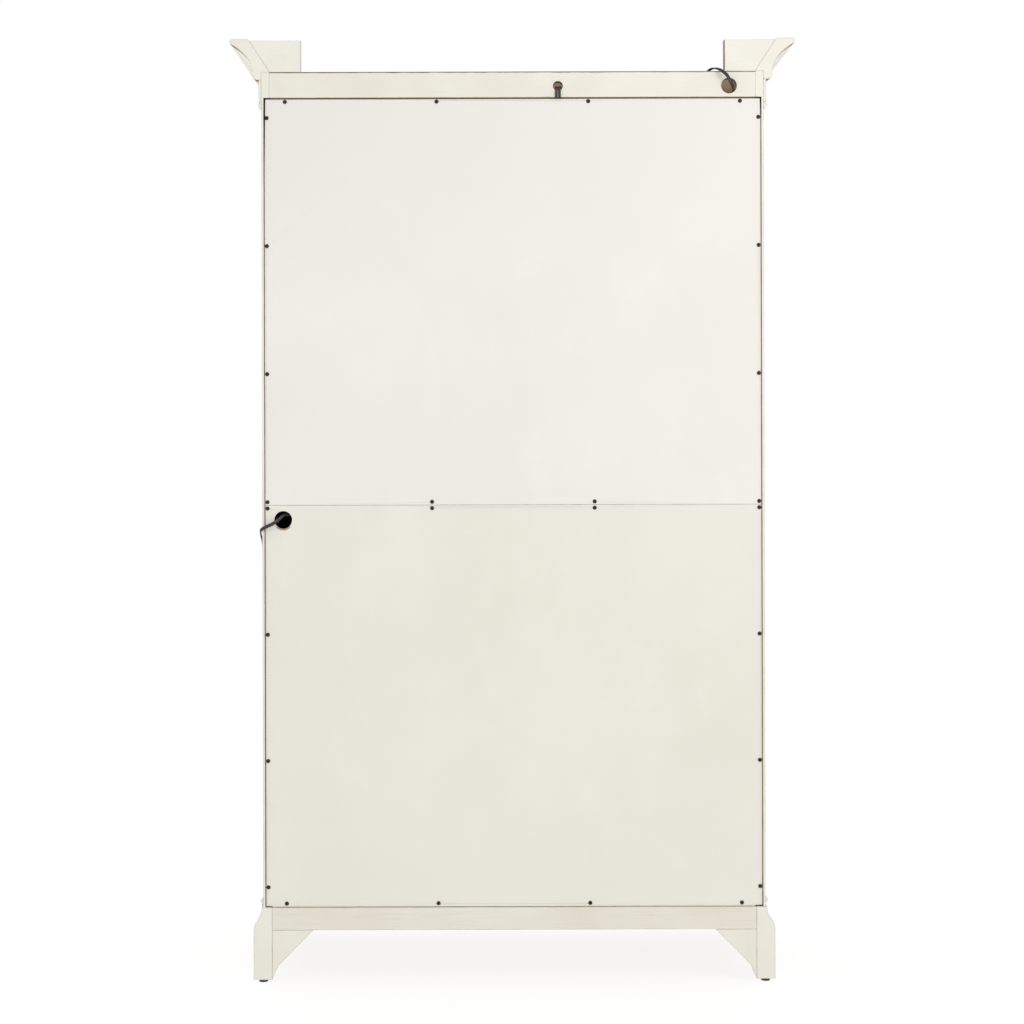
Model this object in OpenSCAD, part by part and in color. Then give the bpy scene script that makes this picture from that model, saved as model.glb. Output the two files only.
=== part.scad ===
// Apothecary cabinet: glazed doors over twelve small drawers, on bracket feet.
// Millimetres, +Z up, front towards -Y, origin on the floor under the middle of the cabinet.

/* [Case] */
// Width of the case over its side panels
case_w = 1136; // [900:1:1300]
// Depth of the case from the face frame's front to the back plane
case_d = 420; // [380:1:520]
// Overall height to the top of the crown
total_h = 2134; // [1750:1:2400]
// Thickness of the side, roof and floor boards
board_t = 18; // [15:1:22]
// Thickness of the deck between the drawers and the glazed part
deck_t = 28; // [26:1:36]
// Height of the joint between the two back panels
deck_mid = 1079; // [950:1:1150]

/* [Base] */
// Height of the base boards, to the underside of the floor board
base_h = 169; // [150:1:200]
// How far the base stands proud of the case
base_out = 22; // [15:1:30]
// Thickness of the base boards
base_t = 42; // [36:1:50]
// Height of the nail-on glides
glide_h = 6; // [3:1:8]
// Radius of a glide
glide_r = 10; // [8:1:14]
// Length of a bracket foot at the floor
foot_l = 70; // [60:1:90]
// Height of the apron's lower edge
apron_z = 84; // [60:1:100]
// Height of the rear rail's lower edge
rear_rail_z = 118; // [100:1:130]
// Width of a rear bracket where it meets the rail
bracket_w = 93; // [70:1:110]

/* [Crown] */
// How far the crown stands proud of the case
crown_out = 72; // [60:1:90]
// Height of the crown moulding
crown_h = 93; // [90:1:110]
// Height of the recess above the roof board
recess_h = 133; // [125:1:150]
// Height of the rear rail above the roof board
top_rail_h = 58; // [50:1:70]
// Distance from the case side to the inner end of a crown block
block_w = 89; // [70:1:120]
// Height of the frieze boards
frieze_h = 51; // [40:1:60]
// Thickness of the frieze boards
frieze_t = 6; // [5:1:9]

/* [Back] */
// Thickness of the back panels
panel_t = 4; // [3:1:6]
// How deep the back panels lie in their rabbet
panel_inset = 3; // [3:1:6]
// Thickness of the rabbet's outer lip
lip_t = 5; // [4:1:7]
// Thickness of the rear rails and crown blocks
rail_t = 20; // [18:1:24]
// Radius of the light cord's hole in the top rail
light_hole_r = 17.5; // [12:0.5:20]
// Radius of the lamp leads' hole in the top rail
lead_hole_r = 11; // [8:0.5:14]
// Radius of the cord hole in the lower back panel
module_hole_r = 20; // [15:0.5:25]

/* [Front] */
// Thickness of the face frame and drawer fronts
frame_t = 20; // [18:1:24]
// Width of the face frame's stiles
stile_w = 45; // [35:1:60]
// Width of the rails and mullions between drawers
divider_w = 20; // [18:1:26]
// Gap round a drawer front
drawer_gap = 1.5; // [1:0.5:3]
// Gap round a door
door_gap = 2; // [2:0.5:3]
// Width of the sash stiles and top rail
sash_w = 55; // [45:1:70]
// Thickness of the glazed doors
sash_t = 22; // [20:1:26]
// Thickness of the door glass
glass_t = 4; // [3:1:5]
// Thickness of the glass shelves
shelf_t = 8; // [6:1:10]

/* [Fittings] */
// Width of the flat mains cords
cord_w = 7.6; // [6:0.1:8]
// Thickness of the flat mains cords
cord_t = 3.4; // [3:0.1:4]
// Radius of a panel screw's shank
screw_r = 1.75; // [1.5:0.05:2.25]
// Radius of a panel screw's head
screw_head_r = 4.75; // [4:0.25:5.5]

/* [Hidden] */
// Drawers side by side and one above another.
columns = 4;
rows = 3;

paint = "#ECEAE2";
worn_wood = "#B79A76";
metal = "#4A3F35";
black = "#222222";
glass = "#C8DADA";

// Glue line between the glued pieces of one node, so that each is a solid of its own.
glue = 0.1;

half_w = case_w / 2;
y_back = (case_d + crown_out) / 2;
y_front = y_back - case_d;
y_inside = y_front + frame_t;
inner_x = half_w - board_t;
roof_top = total_h - recess_h;
roof_z = roof_top - board_t;
rail_top = roof_top + top_rail_h;
crown_z = total_h - crown_h;
frieze_z = crown_z - frieze_h;
bead_h = 14;
deck_z = deck_mid - deck_t / 2;
deck_top = deck_z + deck_t;
floor_top = base_h + board_t;

// Back panels, their rabbet and the screws that hold them.
panel_out = y_back - panel_inset;
panel_in = panel_out - panel_t;
panel_gap = 1.5;
panel_x = half_w - lip_t - panel_gap;
panel_top = roof_top - 3.5;
panel_low = base_h + 1;
seam = 0.3;
screw_l = 19;
screw_head_h = 2.2;
screw_x = inner_x + (board_t - lip_t) / 2;
pair_step = 7.5;
roof_screws_x = [-1.5, -0.5, 0.5, 1.5] * (inner_x - 35) / 1.5;
deck_screws_x = [-1, 1] * case_w * 0.162;
side_top_screw = roof_top - 45.5;
side_low_screw = floor_top + 28;

function column(low, high, count = 4) = [for (i = [0:count - 1]) low + (high - low) * i / (count - 1)];

screws = concat(
    [for (x = roof_screws_x) [x, roof_z + board_t / 2]],
    [for (x = roof_screws_x) [x, base_h + board_t / 2]],
    [for (x = deck_screws_x, s = [-1, 1]) [x, deck_mid + s * pair_step]],
    [for (s = [-1, 1], z = column(deck_mid + pair_step, side_top_screw)) [s * screw_x, z]],
    [for (s = [-1, 1], z = column(side_low_screw, deck_mid - pair_step)) [s * screw_x, z]]);

// Cord holes.
light_hole = [-(half_w - 78), roof_top + 25];
lead_hole = [-103, roof_top + 25];
module_hole = [half_w - 47, deck_mid - 33];
lead_notch_w = 16;
lead_notch_d = 7;

// Front layout.
opening_x = half_w - stile_w;
mid_rail_z = deck_mid - 19;
mid_rail_top = deck_mid + 19;
door_head_z = frieze_z - 28;
low_rail_top = floor_top + 18;
cell_w = (2 * opening_x - (columns - 1) * divider_w) / columns;
cell_h = (mid_rail_z - low_rail_top - (rows - 1) * divider_w) / rows;

function cell_x(c) = -opening_x + cell_w / 2 + (c - 1) * (cell_w + divider_w);
function cell_z(r) = low_rail_top + (rows - r) * (cell_h + divider_w);

// Drawers.
drawer_side_t = 12;
drawer_bottom_t = 6;
drawer_play = 5.2;
drawer_lift = 1;
drawer_box_h = cell_h - 62;
drawer_back_room = 62;
drawer_w = cell_w - 2 * drawer_play;
drawer_end = panel_in - drawer_back_room;
knob_z = cell_h * 0.42;
label_z = cell_h * 0.72;

// Doors.
door_x = opening_x - door_gap;
door_z = mid_rail_top + door_gap;
door_top = door_head_z - door_gap;
sash_low_w = 70;
rebate = 8;
glass_y = y_front + 10;
bar_w = 16;
bar_inset = 2;
hinge_r = 3;
hinge_x = opening_x - door_gap / 2;
hinge_y = y_front - hinge_r - 0.3;
pin_r = 1.5;
pin_play = 0.05;
hinge_h = 60;
leaf_t = 0.8;
leaf_d = 19;
hinge_zs = [door_z + 85, (door_z + door_top) / 2, door_top - 85];

// Shelves.
pin_pitch = 48;
pin_first_z = deck_top + 144.5;
pin_last_room = 169;
pin_holes = floor((roof_z - pin_last_room - pin_first_z) / pin_pitch) + 1;
shelf_pin_r = 2.5;
shelf_rows = [round(pin_holes * 0.25), round(pin_holes * 0.72)];
shelf_front = y_inside + 14;
shelf_back = panel_in - 39;
pin_ys = [shelf_front + 40, shelf_back - 40];
shelf_play = 4;

// Lamps.
lamp_x = 270;
lamp_y = 20;
lamp_r = 34;
lamp_h = 10;
lens_r = 27;
lens_h = 2.5;
driver = [110, 45, 28];
driver_at = [-330, panel_in - 89, roof_top];

// A box given by its low and high corner.
module block(low, high) {
    translate(low) cube(high - low);
}

module both_sides() {
    children();
    mirror([1, 0, 0]) children();
}

// Points along an arc, and along a shallow bow from one point to another.
function arc(centre, r, from, to, n = 8) =
    [for (i = [0:n]) let (a = from + (to - from) * i / n) centre + r * [cos(a), sin(a)]];
function bow(a, b, rise, n = 8) = let (d = b - a, side = [-d.y, d.x] / norm(d))
    [for (i = [0:n]) let (t = i / n) a + d * t + side * 4 * rise * t * (1 - t)];

// Sections of the mouldings: how far they stand out from the case, and their height.
crown_spring = board_t + 1;
crown_section = concat(
    [[30, total_h]],
    arc([crown_out - 6, total_h - 6], 6, 90, -50, 8),
    bow([crown_out - 5.5, total_h - 13], [26, crown_z + 42], -3.5, 8),
    [[20.6, crown_z + 24], [19, crown_z + 11]],
    arc([8.5, crown_z + 10.5], 10.5, 0, -90, 6),
    [[0, crown_z], [0, rail_top], [-crown_spring, rail_top]]);
bead_r = 5;
function bead_section(z, out) = concat(
    [[0, z], [out - bead_r + 1, z]],
    arc([out - bead_r, z + bead_h / 2], bead_r, -75, 75, 8),
    [[out - bead_r + 1, z + bead_h], [0, z + bead_h]]);
ogee_z = rear_rail_z;
base_lip = 4;
base_section = concat(
    [[base_out - base_t, glide_h], [base_out, glide_h], [base_out, ogee_z]],
    bow([base_out, ogee_z], [base_out / 2 + 1, ogee_z + 24], -2.5, 5),
    bow([base_out / 2 + 1, ogee_z + 24], [base_lip, base_h - 6], 2, 5),
    [[base_lip, base_h], [base_out - base_t, base_h]]);

// Plan outlines that cut the mouldings to a mitre at the front corners.
mitre_in = 60;
mitre_out = crown_out + 1;
module side_plan() {
    translate([0, glue, 0]) linear_extrude(total_h + 1) polygon([
        [half_w - mitre_in, y_back], [half_w + mitre_out, y_back],
        [half_w + mitre_out, y_front - mitre_out], [half_w - mitre_in, y_front + mitre_in]]);
}
module front_plan() {
    linear_extrude(total_h + 1) polygon([
        [-half_w - mitre_out, y_front - mitre_out], [half_w + mitre_out, y_front - mitre_out],
        [half_w - mitre_in, y_front + mitre_in], [-half_w + mitre_in, y_front + mitre_in]]);
}
module side_run(section) {
    intersection() {
        translate([half_w, y_back, 0]) rotate([90, 0, 0])
            linear_extrude(case_d + mitre_out) polygon(section);
        side_plan();
    }
}
module front_run(section) {
    intersection() {
        translate([half_w + mitre_out, y_front, 0]) rotate([0, 0, -90]) rotate([90, 0, 0])
            linear_extrude(case_w + 2 * mitre_out) polygon(section);
        front_plan();
    }
}

// Case boards.
module screw_pilots() {
    for (s = screws) translate([s.x, panel_out + 1, s.y]) rotate([90, 0, 0])
        cylinder(r = screw_r + 0.05, h = screw_l + 2, $fn = 24);
}

module side_panel() {
    difference() {
        block([inner_x, y_inside, base_h], [half_w, y_back, rail_top]);
        block([inner_x - 1, panel_in, base_h - 1], [half_w - lip_t, y_back + 1, roof_top]);
        for (y = pin_ys, i = [0:pin_holes - 1]) translate([inner_x - 1, y, pin_first_z + i * pin_pitch])
            rotate([0, 90, 0]) cylinder(r = shelf_pin_r + 0.05, h = 11, $fn = 24);
        screw_pilots();
    }
}
module side_panel_right() {
    color(paint) side_panel();
}
module side_panel_left() {
    color(paint) mirror([1, 0, 0]) side_panel();
}

module roof_board() {
    color(paint) difference() {
        block([-inner_x, y_inside, roof_z], [inner_x, panel_in, roof_top]);
        block([lead_hole.x - lead_notch_w / 2, panel_in - lead_notch_d, roof_z - 1],
              [lead_hole.x + lead_notch_w / 2, panel_in + 1, roof_top + 1]);
        screw_pilots();
    }
}
module middle_deck() {
    color(paint) difference() {
        block([-inner_x, y_inside, deck_z], [inner_x, panel_in, deck_top]);
        screw_pilots();
    }
}
module floor_board() {
    color(paint) difference() {
        block([-inner_x, y_inside, base_h], [inner_x, panel_in, floor_top]);
        screw_pilots();
    }
}

// Back. The sheets' outer corners are clipped a little where they were planed to fit.
module sheet(outline) {
    translate([0, panel_out, 0]) rotate([90, 0, 0]) linear_extrude(panel_t) polygon(outline);
}
module back_panel_upper() {
    color(paint) difference() {
        low = deck_mid + seam / 2;
        sheet([[-panel_x, low], [panel_x, low], [panel_x, panel_top - 150], [panel_x - 2, panel_top],
               [-panel_x + 1.5, panel_top], [-panel_x, panel_top - 45]]);
        screw_pilots();
    }
}
module back_panel_lower() {
    color(paint) difference() {
        high = deck_mid - seam / 2;
        notch = 2.2;
        sheet([[-panel_x, high], [-panel_x, panel_low + notch], [-panel_x + 16, panel_low + notch],
               [-panel_x + 17, panel_low], [panel_x - 14, panel_low],
               [panel_x - 13, panel_low + notch], [panel_x, panel_low + notch], [panel_x, high]]);
        screw_pilots();
        translate([module_hole.x, panel_out + 1, module_hole.y]) rotate([90, 0, 0])
            cylinder(r = module_hole_r, h = panel_t + 2, $fn = 64);
    }
}
module top_back_rail() {
    color(paint) difference() {
        block([-inner_x, y_back - rail_t, roof_top], [inner_x, y_back, rail_top]);
        translate([light_hole.x, y_back + 1, light_hole.y]) rotate([90, 0, 0])
            cylinder(r = light_hole_r, h = rail_t + 2, $fn = 64);
        translate([lead_hole.x, y_back + 1, lead_hole.y]) rotate([90, 0, 0])
            cylinder(r = lead_hole_r, h = rail_t + 2, $fn = 48);
    }
}
module bottom_back_rail() {
    color(paint) block([base_t - base_out - half_w, y_back - rail_t, rear_rail_z],
                       [half_w + base_out - base_t, y_back, base_h]);
}
module crown_blocks() {
    top = total_h - 4;
    slope = (30 + crown_spring) / (total_h - rail_top);
    color(paint) both_sides() translate([half_w, y_back, 0]) rotate([90, 0, 0])
        linear_extrude(rail_t) polygon([
            [-block_w, rail_top], [-crown_spring, rail_top],
            [-crown_spring + slope * (top - rail_top), top], [-block_w, top]]);
}
module rear_brackets() {
    foot_x = base_out - base_t;
    color(paint) both_sides() translate([half_w, y_back, 0]) rotate([90, 0, 0])
        linear_extrude(rail_t) polygon([
            [foot_x, rear_rail_z], [foot_x - bracket_w, rear_rail_z],
            [foot_x - 13, glide_h + 31], [foot_x, glide_h + 1]]);
}
module panel_screws() {
    color(black) for (s = screws) translate([s.x, panel_out, s.y]) rotate([90, 0, 0]) difference() {
        union() {
            cylinder(r = screw_r, h = screw_l, $fn = 24);
            translate([0, 0, -screw_head_h]) cylinder(r = screw_head_r, h = screw_head_h, $fn = 32);
        }
        for (a = [0, 90]) rotate([0, 0, a + 20]) translate([-2.6, -0.5, -screw_head_h - 1])
            cube([5.2, 1, 2.4]);
    }
}

// Mouldings and base.
// A moulding along both sides and across the front.
module all_round(section) {
    both_sides() side_run(section);
    front_run(section);
}
module crown_moulding() {
    color(paint) all_round(crown_section);
}
frieze_section = [
    [0, frieze_z + glue], [frieze_t, frieze_z + glue], [frieze_t, crown_z], [0, crown_z]];
module case_mouldings() {
    color(paint) {
        all_round(frieze_section);
        all_round(bead_section(frieze_z - bead_h, frieze_t + 1.5));
        all_round(bead_section(base_h + 8, 5.5));
    }
}

// The gap between two bracket feet, from u0 to u1 along the board.
foot_rise = 58;
function foot_gap(u0, u1) = concat(
    [[u0, -1], [u0, 14]],
    bow([u0, 14], [u0 + foot_rise, apron_z], 9, 8),
    bow([u1 - foot_rise, apron_z], [u1, 14], 9, 8),
    [[u1, 14], [u1, -1]]);
module base_side() {
    difference() {
        side_run(base_section);
        translate([half_w - base_t, 0, 0]) rotate([90, 0, 90]) linear_extrude(2 * base_t)
            polygon(foot_gap(y_front - base_out + foot_l, y_back - foot_l));
    }
}
module base_boards() {
    reach = half_w + base_out - foot_l;
    color(paint) {
        both_sides() base_side();
        difference() {
            front_run(base_section);
            translate([0, y_front + base_t, 0]) rotate([90, 0, 0]) linear_extrude(2 * base_t)
                polygon(foot_gap(-reach, reach));
        }
    }
}
module foot_glides() {
    color(black) for (x = [-1, 1] * (half_w + base_out - base_t / 2),
                      y = [y_back - glide_r - 2, y_front - base_out + 20])
        translate([x, y, 0]) cylinder(r = glide_r, h = glide_h, $fn = 32);
}

// Front frame and what divides the drawers.
module face_frame() {
    rail_x = opening_x - glue;
    module rail(low, high) {
        block([-rail_x, y_front, low], [rail_x, y_inside, high]);
    }
    color(paint) {
        both_sides() block([opening_x, y_front, base_h], [half_w, y_inside, rail_top]);
        rail(door_head_z, rail_top);
        rail(mid_rail_z, mid_rail_top);
        rail(base_h, low_rail_top);
        for (r = [1:rows - 1]) rail(cell_z(r) - divider_w, cell_z(r));
        for (r = [1:rows], c = [1:columns - 1]) {
            x = cell_x(c) + cell_w / 2;
            block([x, y_front, cell_z(r) + glue], [x + divider_w, y_inside, cell_z(r) + cell_h - glue]);
        }
    }
}
// Partitions between the columns, guides at the sides and a shelf under every drawer.
partition_t = 18;
shelf_board_t = 12;
guide_h = 30;
divider_back = panel_in - 34;
function partition_x(c) = cell_x(c) + cell_w / 2 + divider_w / 2;
module drawer_carcase() {
    color(worn_wood) {
        for (c = [1:columns - 1]) block(
            [partition_x(c) - partition_t / 2, y_inside, floor_top],
            [partition_x(c) + partition_t / 2, divider_back, deck_z]);
        both_sides() for (r = [1:rows]) block(
            [opening_x + 1, y_inside, cell_z(r) + glue], [inner_x, divider_back, cell_z(r) + guide_h]);
        for (r = [1:rows], c = [1:columns]) {
            low = c == 1 ? -inner_x : partition_x(c - 1) + partition_t / 2 + glue;
            high = c == columns ? inner_x : partition_x(c) - partition_t / 2 - glue;
            block([low, y_inside, cell_z(r) - shelf_board_t], [high, divider_back, cell_z(r)]);
        }
    }
}

// Turned knob, standing out along -Y from the point given.
module knob(at, r, length) {
    translate(at) rotate([90, 0, 0]) rotate_extrude($fn = 48) polygon(concat(
        [[0, 0], [r * 0.75, 0], [r * 0.75, length * 0.1], [r * 0.4, length * 0.22],
         [r * 0.36, length * 0.45]],
        arc([r * 0.55, length * 0.72], r * 0.45, -70, 60, 6),
        [[r * 0.4, length * 0.98], [0, length]]));
}

module drawer_front(x, z) {
    groove = 14;
    groove_w = 3;
    front_x = cell_w / 2 - drawer_gap;
    low = [x - front_x, y_front, z + drawer_gap];
    high = [x + front_x, y_inside, z + cell_h - drawer_gap];
    module field(inset, depth) {
        block([low.x + inset, y_front - depth, low.z + inset],
              [high.x - inset, y_front + depth, high.z - inset]);
    }
    difference() {
        block(low, high);
        difference() {
            field(groove, 2);
            field(groove + groove_w, 3);
        }
    }
}
module drawer_box(x, z) {
    low = z + drawer_lift;
    inner = drawer_w / 2 - drawer_side_t;
    front = y_inside + glue;
    back = drawer_end - drawer_side_t;
    bottom = low + 6;
    for (s = [-1, 1]) translate([x + s * (inner + drawer_side_t / 2), 0, 0])
        block([-drawer_side_t / 2, front, low], [drawer_side_t / 2, drawer_end, low + drawer_box_h]);
    block([x - inner + glue, back, low], [x + inner - glue, drawer_end, low + drawer_box_h]);
    block([x - inner + glue, front, bottom], [x + inner - glue, back - glue, bottom + drawer_bottom_t]);
}
module drawer(r, c) {
    color(paint) drawer_front(cell_x(c), cell_z(r));
    color(worn_wood) drawer_box(cell_x(c), cell_z(r));
}
// Knob and card holder, with its card.
module drawer_pull(r, c) {
    x = cell_x(c);
    z = cell_z(r);
    color(metal) knob([x, y_front, z + knob_z], 14, 24);
    card_holder([x, y_front, z + label_z]);
}
module card_holder(at) {
    w = 68;
    h = 36;
    rim = 5;
    translate(at) {
        color(metal) difference() {
            block([-w / 2, -2, -h / 2], [w / 2, 0, h / 2]);
            block([-w / 2 + rim, -3, -h / 2 + rim], [w / 2 - rim, 1, h / 2 - rim]);
        }
        card = rim + glue;
        color(paint) block([-w / 2 + card, -0.8, -h / 2 + card], [w / 2 - card, 0, h / 2 - card]);
    }
}

// Glazed doors. The left one is the right one's mirror image.
module sash() {
    x0 = door_gap / 2;
    x1 = door_x;
    stile_x = x1 - sash_w;
    open_x = x0 + sash_w;
    low = door_z + sash_low_w;
    high = door_top - sash_w;
    y_in = y_front + sash_t;
    middle = (open_x + stile_x) / 2;
    module frame_piece(from, to) {
        difference() {
            block([from.x, y_front, from.y], [to.x, y_in, to.y]);
            block([open_x - rebate, glass_y, low - rebate], [stile_x + rebate, y_in + 1, high + rebate]);
        }
    }
    frame_piece([x0, door_z], [open_x, door_top]);
    frame_piece([stile_x, door_z], [x1, door_top]);
    frame_piece([open_x + glue, door_z], [stile_x - glue, low]);
    frame_piece([open_x + glue, high], [stile_x - glue, door_top]);
    // Beads that hold the glass from behind.
    bead_y = glass_y + glass_t;
    for (x = [open_x - rebate + glue, stile_x])
        block([x, bead_y, low - rebate + glue], [x + rebate - glue, y_in, high + rebate - glue]);
    for (z = [low - rebate + glue, high])
        block([open_x + glue, bead_y, z], [stile_x - glue, y_in, z + rebate - glue]);
    // Glazing bars.
    half_bar = bar_w / 2;
    bar_y = y_front + bar_inset;
    block([middle - half_bar, bar_y, low + glue], [middle + half_bar, glass_y, high - glue]);
    for (i = [1:2], span = [[open_x, middle - half_bar], [middle + half_bar, stile_x]]) {
        z = low + (high - low) * i / 3;
        block([span[0] + glue, bar_y, z - half_bar], [span[1] - glue, glass_y, z + half_bar]);
    }
}
module door_glass() {
    edge = sash_w - rebate + 0.5;
    block([door_gap / 2 + edge, glass_y, door_z + sash_low_w - rebate + 0.5],
          [door_x - edge, glass_y + glass_t, door_top - edge]);
}
module door_knob() {
    knob([door_gap / 2 + sash_w / 2, y_front, (door_z + door_top) / 2 - 40], 15, 26);
}
module hinge_barrel(z, h) {
    translate([hinge_x, hinge_y, z]) cylinder(r = hinge_r, h = h, $fn = 32);
}
// One leaf with its barrels; the middle third is the door's, the outer ones the frame's.
module door_hinges() {
    third = hinge_h / 3;
    for (z = hinge_zs) difference() {
        union() {
            hinge_barrel(z - third / 2 + 0.3, third - 0.6);
            block([hinge_x - 0.1 - leaf_t, hinge_y, z - third / 2 + 0.3], [hinge_x - 0.1, hinge_y + 6, z + third / 2 - 0.3]);
            block([hinge_x - 0.1 - leaf_t, hinge_y + 4, z - hinge_h / 2], [hinge_x - 0.1, hinge_y + leaf_d, z + hinge_h / 2]);
        }
        translate([hinge_x, hinge_y, z - hinge_h]) cylinder(r = pin_r + pin_play, h = 2 * hinge_h, $fn = 32);
    }
}
module frame_hinges() {
    third = hinge_h / 3;
    for (z = hinge_zs) {
        for (s = [-1, 1]) translate([0, 0, s * third]) {
            hinge_barrel(z - third / 2, third);
            block([hinge_x + 0.1, hinge_y, z - third / 2], [hinge_x + 0.1 + leaf_t, hinge_y + 6, z + third / 2]);
        }
        block([hinge_x + 0.1, hinge_y + 4, z - hinge_h / 2], [hinge_x + 0.1 + leaf_t, hinge_y + leaf_d, z + hinge_h / 2]);
        translate([hinge_x, hinge_y, z - hinge_h / 2 - 2]) cylinder(r = pin_r, h = hinge_h + 4, $fn = 32);
    }
}
module frame_hinge_leaves() {
    color(metal) both_sides() frame_hinges();
}
module door_sash_right() {
    color(paint) sash();
}
module door_sash_left() {
    color(paint) mirror([1, 0, 0]) sash();
}
module door_glass_right() {
    color(glass, 0.4) door_glass();
}
module door_glass_left() {
    color(glass, 0.4) mirror([1, 0, 0]) door_glass();
}
module door_fittings() {
    color(metal) {
        door_knob();
        door_hinges();
    }
}
module door_fittings_right() {
    door_fittings();
}
module door_fittings_left() {
    mirror([1, 0, 0]) door_fittings();
}

// Shelves on pins.
module glass_shelves() {
    color(glass, 0.4) for (i = shelf_rows) {
        z = pin_first_z + i * pin_pitch + shelf_pin_r;
        block([-inner_x + shelf_play, shelf_front, z], [inner_x - shelf_play, shelf_back, z + shelf_t]);
    }
}
module shelf_pins() {
    color(metal) both_sides() for (i = shelf_rows, y = pin_ys)
        translate([inner_x - 12, y, pin_first_z + i * pin_pitch]) rotate([0, 90, 0])
            cylinder(r = shelf_pin_r, h = 21, $fn = 24);
}

// Lamps under the roof and the box that feeds them.
module lamps() {
    for (s = [-1, 1]) translate([s * lamp_x, lamp_y, roof_z - lamp_h]) {
        color(metal) difference() {
            cylinder(r = lamp_r, h = lamp_h, $fn = 64);
            translate([0, 0, -1]) cylinder(r = lens_r, h = lens_h + 1, $fn = 64);
        }
        color(glass) cylinder(r = lens_r - glue, h = lens_h - glue, $fn = 64);
    }
}
// The lamps' driver on the roof, and the power module under the deck.
module supply_boxes() {
    color(black) {
        translate(driver_at) cube(driver);
        block([module_hole.x - 85, panel_in - 31, deck_z - 28],
              [module_hole.x - 21, panel_in - 3, deck_z]);
    }
}

// Sweeps a flat cord along points: each row is a place and the way its flat side faces.
function spline(p, i, t) = let (
    a = p[max(i - 1, 0)], b = p[i], c = p[i + 1], d = p[min(i + 2, len(p) - 1)])
    0.5 * ((2 * b) + (c - a) * t + (2 * a - 5 * b + 4 * c - d) * t * t + (3 * b - a - 3 * c + d) * t * t * t);
function smooth(p, n) = concat(
    [for (i = [0:len(p) - 2], k = [0:n - 1]) spline(p, i, k / n)], [p[len(p) - 1]]);
function unit(v) = v / norm(v);
cord_sides = 8;
module flat_cord(places, faces, width, thick, steps) {
    p = smooth(places, steps);
    f = smooth(faces, steps);
    last = len(p) - 1;
    points = [for (i = [0:last]) let (
        along = unit(p[min(i + 1, last)] - p[max(i - 1, 0)]),
        side = unit(cross(along, f[i])),
        up = cross(side, along))
        for (k = [0:cord_sides - 1]) let (a = 360 * (k + 0.5) / cord_sides)
            p[i] + side * width / 2 * cos(a) + up * thick / 2 * sin(a)];
    walls = [for (i = [0:last - 1], k = [0:cord_sides - 1]) let (
        a = i * cord_sides + k, b = i * cord_sides + (k + 1) % cord_sides)
        each [[a, a + cord_sides, b], [b, a + cord_sides, b + cord_sides]]];
    polyhedron(points, concat(
        walls, [[for (k = [0:cord_sides - 1]) k]],
        [[for (k = [0:cord_sides - 1]) (last + 1) * cord_sides - 1 - k]]));
}

// The light cord: out of the driver, through the rail's hole and back over the rail.
light_cord_route = [
    [-330, 172, 2014], [-356, 174, 2011], [-390, 179, 2005], [-425, 188, 2004], [-460, 198, 2005.5],
    [-486, 211, 2009.5], [-498, 227, 2014.5], [-501, 243, 2016.5], [-499, 254, 2019.5], [-494.5, 260.5, 2027],
    [-489, 262, 2037], [-482.5, 261, 2048], [-472, 256, 2058], [-462, 249, 2064], [-453, 238, 2066],
    [-446, 225, 2063], [-440, 212, 2053], [-434, 200, 2037], [-426, 186, 2019], [-416, 168, 2009],
    [-405, 146, 2005.8], [-396, 120, 2005.2], [-389, 90, 2005], [-384, 60, 2005]];
light_cord_faces = [
    [0, 0, -1], [0, 0, -1], [0, 0, -1], [0, 0, -1], [-0.2, 0.1, -1],
    [-0.4, 0.1, -0.9], [-0.6, 0.1, -0.8], [-0.65, 0.4, -0.7], [-0.4, 1, -0.5], [-0.1, 1, -0.1],
    [0, 1, 0.1], [0, 1, 0.2], [0, 1, 0.6], [0, 0.6, 1], [0, 0, 1],
    [0, -0.5, 1], [0, -1, 0.8], [0, -1, 0.7], [0, -1, 0.9], [-0.4, -0.5, 1],
    [-0.8, -0.2, 0.7], [-1, 0, 0.3], [-1, 0, 0], [-1, 0, 0]];
coil_at = [-335, 60, roof_top];
coil_r = [31, 51];
module light_cord() {
    color(black) flat_cord(light_cord_route, light_cord_faces, cord_w, cord_t, 3);
}
module light_cord_coil() {
    color(black) translate(coil_at) rotate_extrude($fn = 64)
        translate([coil_r[0], 0]) square([coil_r[1] - coil_r[0], cord_w]);
}
plug_size = [34, 22, 16];
// Two-pin plug, pointing along -Y from the middle of its cord end.
module plug(at) {
    translate(at) {
        translate([-plug_size.y / 2, -plug_size.x, -plug_size.z / 2])
            cube([plug_size.y, plug_size.x, plug_size.z]);
        for (s = [-1, 1]) translate([s * 6.35 - 0.75, -plug_size.x - 16, -3])
            cube([1.5, 16, 6]);
    }
}
light_plug_at = [-335, 10, roof_top + plug_size.z / 2];
module light_cord_plug() {
    color(black) plug(light_plug_at);
}

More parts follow.
